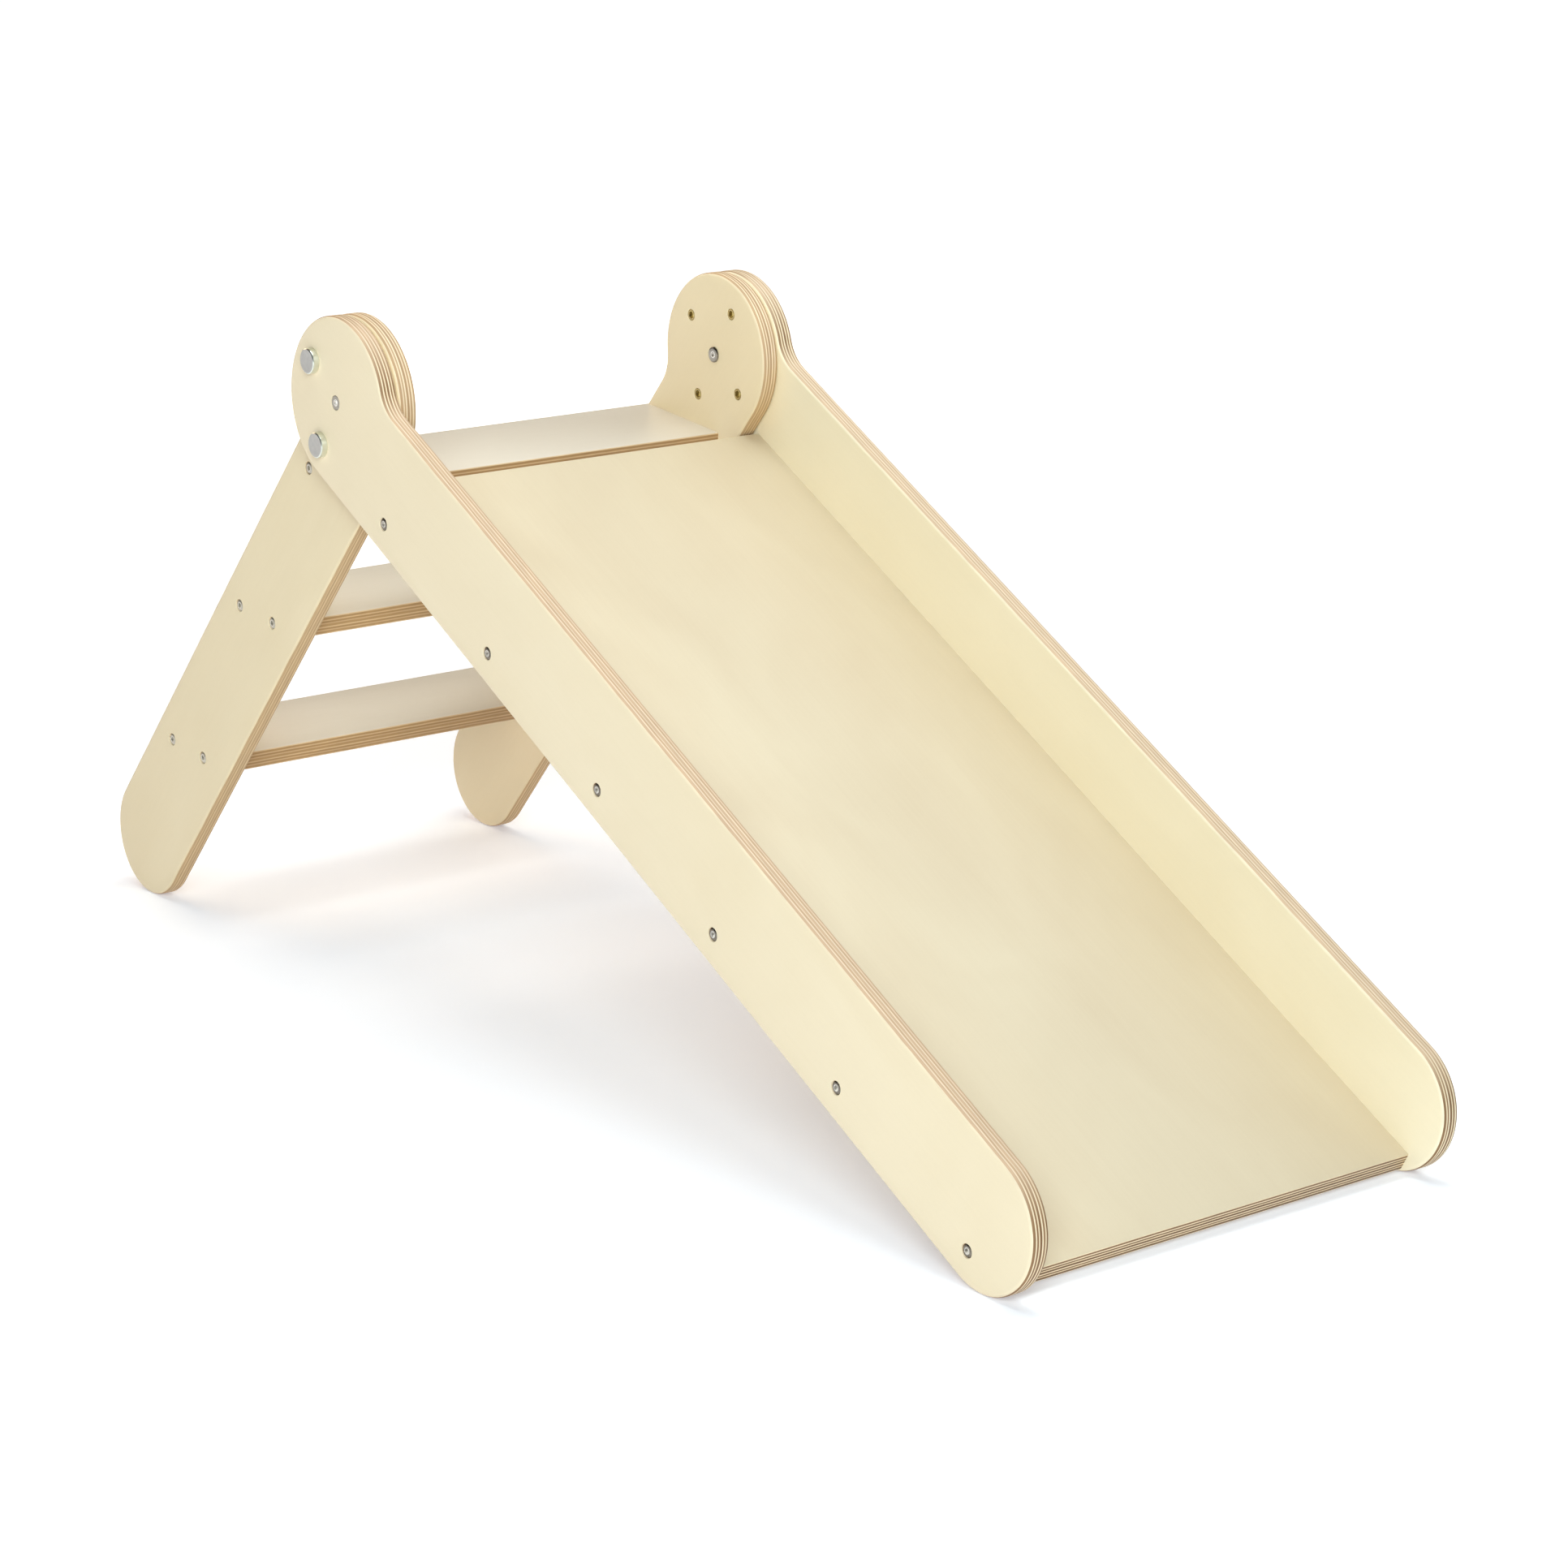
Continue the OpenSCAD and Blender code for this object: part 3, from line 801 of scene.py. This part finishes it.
def screw_mesh():
    """Flat-headed furniture screw with a hexagonal socket and a coarse thread."""
    top = -SCREW_SINK
    tip = top - SCREW_LEN
    head = SCREW_HEAD_R - 0.15 * MM
    land = top - 1.1 * MM
    thread = 0.9 * MM
    profile = [
        (2.7 * MM, top), (head - 1.6 * MM, top - 0.05 * MM), (head - 0.8 * MM, top - 0.3 * MM),
        (head - 0.2 * MM, top - 0.75 * MM), (head, land),
        (SCREW_R, land - head + SCREW_R), (SCREW_R, top - 9 * MM),
    ]
    profile += ridges(SCREW_R, thread, SCREW_THREAD_PITCH, top - 10 * MM, tip + 3 * MM)
    profile += [(SCREW_R - thread, tip + 2 * MM), (0, tip)]
    bm = turned(profile, 32)
    add_socket(bm, top, SOCKET_W, SOCKET_DEPTH)
    return bm


def join_copies(make, places):
    """One mesh made of a copy of a small mesh at each place."""
    out = bmesh.new()
    for place in places:
        bm = make()
        bmesh.ops.transform(bm, matrix=place, verts=bm.verts)
        part = bpy.data.meshes.new("part")
        bm.to_mesh(part)
        bm.free()
        out.from_mesh(part)
        bpy.data.meshes.remove(part)
    bmesh.ops.recalc_face_normals(out, faces=out.faces)
    for f in out.faces:
        f.smooth = True
    return out


def fasteners(name, make, places, left, body, cad_node, material):
    """Like fasteners of one joint, as one piece."""
    bm = join_copies(make, places)
    finish_mesh(name, bm, Matrix.Identity(4), left, body, cad_node, material)


def pivot_bolt_mesh():
    """Low-headed connector bolt; its shank ends at the ladder's outer face."""
    top = -SCREW_SINK
    under = top - BOLT_HEAD_T
    tip = -BOARD - SIDE_GAP
    bm = turned([
        (3.0 * MM, top), (BOLT_HEAD_R - 0.5 * MM, top), (BOLT_HEAD_R - 0.1 * MM, top - 0.25 * MM),
        (BOLT_HEAD_R, top - 0.6 * MM), (BOLT_HEAD_R, under), (BOLT_R, under),
        (BOLT_R, tip + 0.6 * MM), (BOLT_R - 0.6 * MM, tip), (0, tip),
    ])
    add_socket(bm, top, SOCKET_W, 1.9 * MM, 0.1 * MM)
    return bm


def sleeve_nut_mesh():
    """Nut seen on the ladder's inner face; its own +Z points out of that face."""
    under = SIDE_PLAY
    top = under + NUT_HEAD_T
    end = -(SLIDE_OUT - LADDER_IN) + SCREW_SINK + BOLT_HEAD_T + SIDE_PLAY
    bm = turned([
        (3.1 * MM, top), (NUT_HEAD_R - 1.1 * MM, top), (NUT_HEAD_R - 0.4 * MM, top - 0.2 * MM),
        (NUT_HEAD_R, top - 0.6 * MM), (NUT_HEAD_R, under), (SLEEVE_R, under), (SLEEVE_R, end),
        (BOLT_R + CLEAR, end), (BOLT_R + CLEAR, NUT_BORE_TOP), (0, NUT_BORE_TOP - 0.5 * MM),
    ])
    add_socket(bm, top, SOCKET_W, SOCKET_DEPTH, 0.3 * MM)
    return bm


def washer_mesh():
    """Flat ring with its rims just broken."""
    low, rim, inner = -SIDE_GAP + SIDE_PLAY, 0.15 * MM, SLEEVE_R + CLEAR
    return turned([
        (inner, -rim), (inner + rim, 0), (WASHER_R - rim, 0), (WASHER_R, -rim),
        (WASHER_R, low + rim), (WASHER_R - rim, low), (inner + rim, low), (inner, low + rim),
        (inner, -rim),
    ], 64)


def insert_mesh():
    """Threaded insert with a hexagonal drive; its own +Z points out of the ladder's inner face."""
    top, low = -INSERT_SINK, -INSERT_SINK - INSERT_DRIVE
    root, bore, thread = INSERT_R - 0.5 * MM, STUD_R - 0.3 * MM, 0.35 * MM
    profile = [
        (STUD_R + 0.55 * MM, top), (INSERT_R - 0.3 * MM, top), (INSERT_R, top - 0.3 * MM),
        (INSERT_R, top - 1.1 * MM),
    ]
    profile += ridges(INSERT_R, INSERT_R - root, INSERT_PITCH, -1.6 * MM, -INSERT_LEN + 0.6 * MM)
    profile += [(root, -INSERT_LEN), (bore, -INSERT_LEN)]
    inside = ridges(STUD_R, thread, STUD_PITCH, low - 0.1 * MM, -INSERT_LEN + 0.5 * MM)
    bm = turned(profile + inside[::-1] + [(bore, low)], 36)
    bore_rim = loop_at(bm, low)
    foot = sink_hexagon(bm, top, 2 * STUD_R, INSERT_DRIVE)
    bmesh.ops.triangle_fill(bm, use_beauty=True, edges=bore_rim + foot, normal=(0, 0, 1))
    return bm


def knob_mesh():
    """Turned disc: polished rim with a small bevel, face dished by a hair, blind hole behind."""
    hole, depth = STUD_R + CLEAR, KNOB_H - KNOB_WEB
    return turned([
        (0, KNOB_H - 0.12 * MM), (KNOB_R - 2.2 * MM, KNOB_H - 0.08 * MM),
        (KNOB_R - KNOB_BEVEL - 0.12 * MM, KNOB_H - 0.02 * MM),
        (KNOB_R - KNOB_BEVEL, KNOB_H - 0.03 * MM), (KNOB_R - 0.15 * MM, KNOB_H - KNOB_BEVEL * 0.7),
        (KNOB_R, KNOB_H - KNOB_BEVEL * 1.3), (KNOB_R, 0.3 * MM), (KNOB_R - 0.3 * MM, 0),
        (hole, 0), (hole, depth), (0, depth),
    ], 72)


def stud_mesh():
    """Stud with a ridged thread, a plain root in the knob and a chamfered tip."""
    low, high = -(BOARD + SIDE_GAP / 2), KNOB_H - KNOB_WEB
    root = STUD_R - 0.5 * MM
    profile = [
        (0, high), (STUD_R - 0.2 * MM, high), (STUD_R, high - 0.2 * MM), (STUD_R, 0.2 * MM),
        (root, -0.2 * MM),
    ]
    profile += ridges(STUD_R, STUD_R - root, STUD_PITCH, -0.4 * MM, low + 1.0 * MM)
    profile += [(root, low + 0.6 * MM), (root - 0.4 * MM, low), (0, low)]
    return turned(profile, 40)


def build_side(left):
    """Everything that has a twin on the other side."""
    side = "left" if left else "right"
    slide_side(left)
    ladder_side(left)
    fasteners(
        f"deck_confirmat_screws_{side}", screw_mesh,
        [on_right(p, SLIDE_OUT) for p in deck_screw_points()],
        left, "slide", f"deck_screws_{side}", SCREW_STEEL,
    )
    for name in STEP_AT:
        fasteners(
            f"{name}_step_confirmat_screws_{side}", screw_mesh,
            [on_right(p, LADDER_OUT) for p in step_screw_points(name)],
            left, "ladder", f"{name}_step_screws_{side}", STEP_SCREW_STEEL,
        )
    fasteners(
        f"pivot_connector_bolt_{side}", pivot_bolt_mesh, [on_right(FOLD_AXIS, SLIDE_OUT)],
        left, "slide", f"pivot_bolt_{side}", PIVOT_STEEL,
    )
    fasteners(
        f"pivot_sleeve_nut_{side}_turned", sleeve_nut_mesh, [facing_in(FOLD_AXIS, LADDER_IN)],
        left, "slide", f"pivot_sleeve_nut_{side}", PIVOT_STEEL,
    )
    fasteners(
        f"pivot_spacer_washer_{side}", washer_mesh, [on_right(FOLD_AXIS, SLIDE_IN)],
        left, "slide", f"pivot_washer_{side}", WASHER_NYLON,
    )
    fasteners(
        f"lock_threaded_inserts_{side}", insert_mesh,
        [facing_in(p, LADDER_IN) for p in lock_points()],
        left, "ladder", f"lock_inserts_{side}", INSERT_ZINC,
    )
    for level, point in zip(("upper", "lower"), lock_points()):
        fasteners(
            f"lock_knob_disc_{level}_{side}", knob_mesh, [on_right(point, SLIDE_OUT)],
            left, f"lock_{level}_{side}", f"lock_knob_{level}_{side}", KNOB_STEEL,
        )
        fasteners(
            f"lock_knob_stud_{level}_{side}", stud_mesh, [on_right(point, SLIDE_OUT)],
            left, f"lock_{level}_{side}", f"lock_stud_{level}_{side}", STUD_STEEL,
        )


deck()
for step_name in STEP_AT:
    step(step_name)
for is_left in (True, False):
    build_side(is_left)

# ---------------------------------------------------------------------------
# Floor, light and camera
# ---------------------------------------------------------------------------
CAMERA_AZIMUTH = math.radians(52.3)
CAMERA_ELEVATION = math.radians(15.5)
CAMERA_DISTANCE = 3.136
CAMERA_LENS = 95.53
AIM = FOLD_AXIS + Vector((0.3054, 0.001, -0.2687))

FLOOR_R = 14.0
# The floor's own light: round the slide, and beyond the second distance in metres
FLOOR_GLOW = ("#858790", "#FFFFFF")
GLOW_FROM, GLOW_TO = 1.2, 3.2
# Direction of the dark end of the room
DARK_END = (-0.84, -0.52, -0.05)
LAMP_AIM = Vector((0, 0, 0.2))


def look_from(azimuth, elevation):
    """Direction from the object towards a viewer; azimuth 0 stands at -Y and 90 at +X."""
    return Vector((
        math.sin(azimuth) * math.cos(elevation),
        -math.cos(azimuth) * math.cos(elevation),
        math.sin(elevation),
    ))


def add_camera():
    """Camera that looks down the slide from the front right."""
    data = bpy.data.cameras.new("camera")
    data.sensor_width = 36.0
    data.lens = CAMERA_LENS
    data.clip_start, data.clip_end = 0.05, 100
    camera = bpy.data.objects.new("camera", data)
    back = look_from(CAMERA_AZIMUTH, CAMERA_ELEVATION)
    camera.location = AIM + back * CAMERA_DISTANCE
    camera.rotation_mode = "QUATERNION"
    camera.rotation_quaternion = (-back).to_track_quat("-Z", "Y")
    bpy.context.scene.collection.objects.link(camera)
    bpy.context.scene.camera = camera


def add_floor():
    """Wide white floor, its rim far outside the view."""
    bm = bmesh.new()
    bmesh.ops.create_circle(bm, cap_ends=True, segments=64, radius=FLOOR_R)
    mesh = bpy.data.meshes.new("floor")
    bm.to_mesh(mesh)
    bm.free()
    mat, tree, shader = new_material("white studio floor")
    shader.inputs["Base Color"].default_value = linear("#F4F4F4")
    shader.inputs["Roughness"].default_value = 0.9
    shader.inputs["Specular IOR Level"].default_value = 0.1
    # Lit from behind: softly round the slide, and fully a few metres away
    where = node(tree, "ShaderNodeTexCoord").outputs["Object"]
    away = node(tree, "ShaderNodeVectorMath", {"operation": "LENGTH"}, i0=where).outputs["Value"]
    glow = node(
        tree, RANGE, {"interpolation_type": "SMOOTHSTEP"}, Value=away, i1=GLOW_FROM, i2=GLOW_TO
    ).outputs[0]
    shine = node(tree, RAMP, {"stops": [(0.0, FLOOR_GLOW[0]), (1.0, FLOOR_GLOW[1])]}, Fac=glow)
    tree.links.new(shine.outputs["Color"], shader.inputs["Emission Color"])
    shader.inputs["Emission Strength"].default_value = 1.0
    mesh.materials.append(mat)
    floor = bpy.data.objects.new("floor", mesh)
    bpy.context.scene.collection.objects.link(floor)


def add_area_light(name, azimuth, elevation, distance, size, power, colour):
    """Round soft lamp at a bearing and distance from the slide's middle, in degrees and metres."""
    data = bpy.data.lights.new(name, "AREA")
    data.shape = "DISK"
    data.size = size
    data.energy = power
    data.color = linear(colour)[:3]
    lamp = bpy.data.objects.new(name, data)
    direction = look_from(math.radians(azimuth), math.radians(elevation))
    lamp.location = direction * distance + LAMP_AIM
    lamp.rotation_mode = "QUATERNION"
    lamp.rotation_quaternion = (-direction).to_track_quat("-Z", "Y")
    bpy.context.scene.collection.objects.link(lamp)


def add_sky(bright, dim):
    """White light from all round, weaker from the dark end of the room at the front left."""
    world = bpy.data.worlds.new("white studio")
    world.use_nodes = True
    tree = world.node_tree
    background = next(n for n in tree.nodes if n.type == "BACKGROUND")
    background.inputs["Color"].default_value = (1, 1, 1, 1)
    direction = node(tree, "ShaderNodeTexCoord").outputs["Generated"]
    toward = node(
        tree, "ShaderNodeVectorMath", {"operation": "DOT_PRODUCT"}, i0=direction, i1=DARK_END
    ).outputs["Value"]
    level = node(
        tree, RANGE, {"interpolation_type": "SMOOTHSTEP"},
        Value=toward, i1=0.2, i2=0.8, i3=bright, i4=dim,
    )
    tree.links.new(level.outputs[0], background.inputs["Strength"])
    bpy.context.scene.world = world


add_camera()
add_floor()
add_sky(0.03, 0.01)
add_area_light("key softbox", 52, 25, 5.0, 2.6, 215, "#E8F7FF")
add_area_light("top softbox", 60, 85, 2.4, 1.6, 31, "#F2FBFF")
add_area_light("back softbox", 180, 60, 3.2, 3.0, 42, "#FFFEF9")
add_area_light("left softbox", 270, 30, 3.0, 1.6, 24, "#FFE1C0")
bpy.context.scene.view_settings.view_transform = "Standard"
